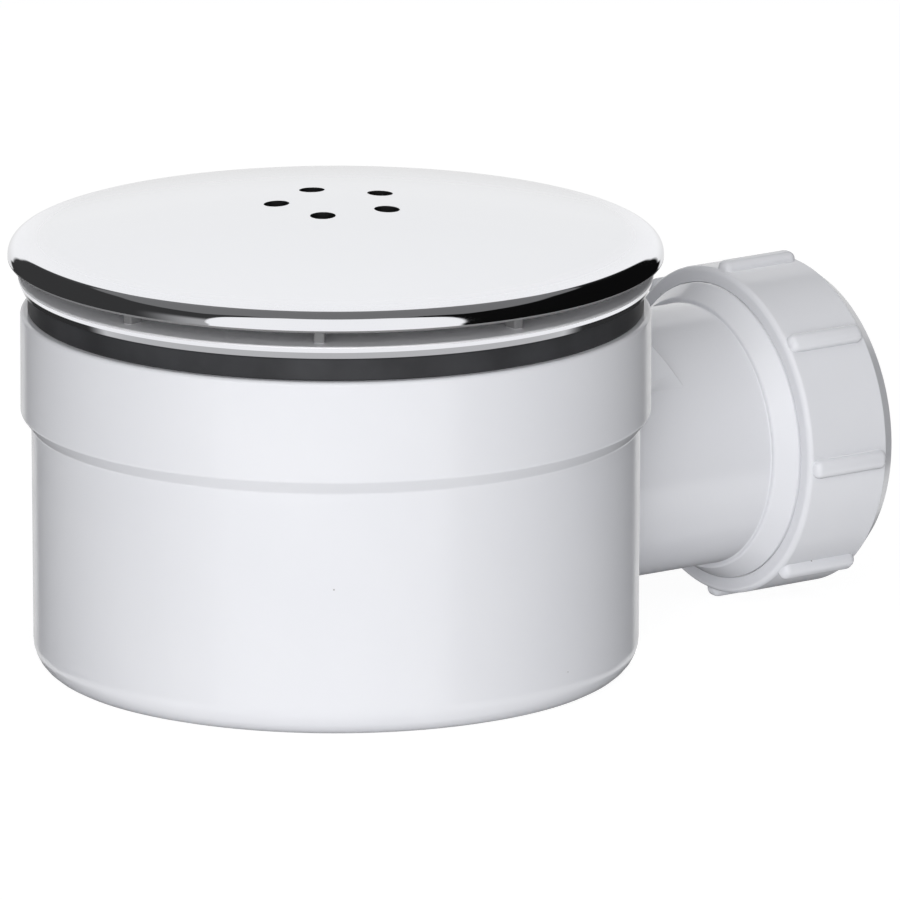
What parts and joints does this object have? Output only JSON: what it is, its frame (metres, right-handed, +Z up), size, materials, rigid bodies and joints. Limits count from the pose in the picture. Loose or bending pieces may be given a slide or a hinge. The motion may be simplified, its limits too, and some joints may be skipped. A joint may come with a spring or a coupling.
{
  "type": "shower trap",
  "caption": "Low shower trap with a chrome domed cap over a clamped flange, a lift-out water-seal cup inside and a horizontal compression outlet with a screw nut.",
  "frame": {"origin": "middle of the flat base, on the axis of the waste", "axes": "+Z up along the waste axis, +X along the outlet, away from the body"},
  "size_m": [0.1586, 0.115, 0.0839],
  "materials": {
    "white_plastic": "gloss",
    "insert_plastic": "satin",
    "chrome": "polished",
    "rubber": "matt"
  },
  "bodies": {
    "trap": {"trap_body": "white_plastic", "threaded_collar": "white_plastic", "tray_gasket": "rubber", "flange": "chrome", "dome_cap": "chrome", "strainer": "insert_plastic", "dip_tube": "insert_plastic", "dip_tube_o_ring": "rubber", "trap_cup": "insert_plastic", "cone_seal": "rubber"},
    "slip_ring": {"slip_ring": "white_plastic"},
    "nut": {"compression_nut": "white_plastic"}
  },
  "joints": [
    {"name": "nut_travel", "type": "slide", "parent": "trap", "child": "slip_ring", "axis": [1, 0, 0], "range_m": [0, 0.008]},
    {"name": "nut_turn", "type": "hinge", "parent": "slip_ring", "child": "nut", "pos_m": [0.0969, 0, 0.0312], "axis": [1, 0, 0], "range_deg": [0, 720]}
  ],
  "couplings": [
    {"joint": "nut_travel", "follows": "nut_turn", "m_per_rad": 0.00063662}
  ]
}
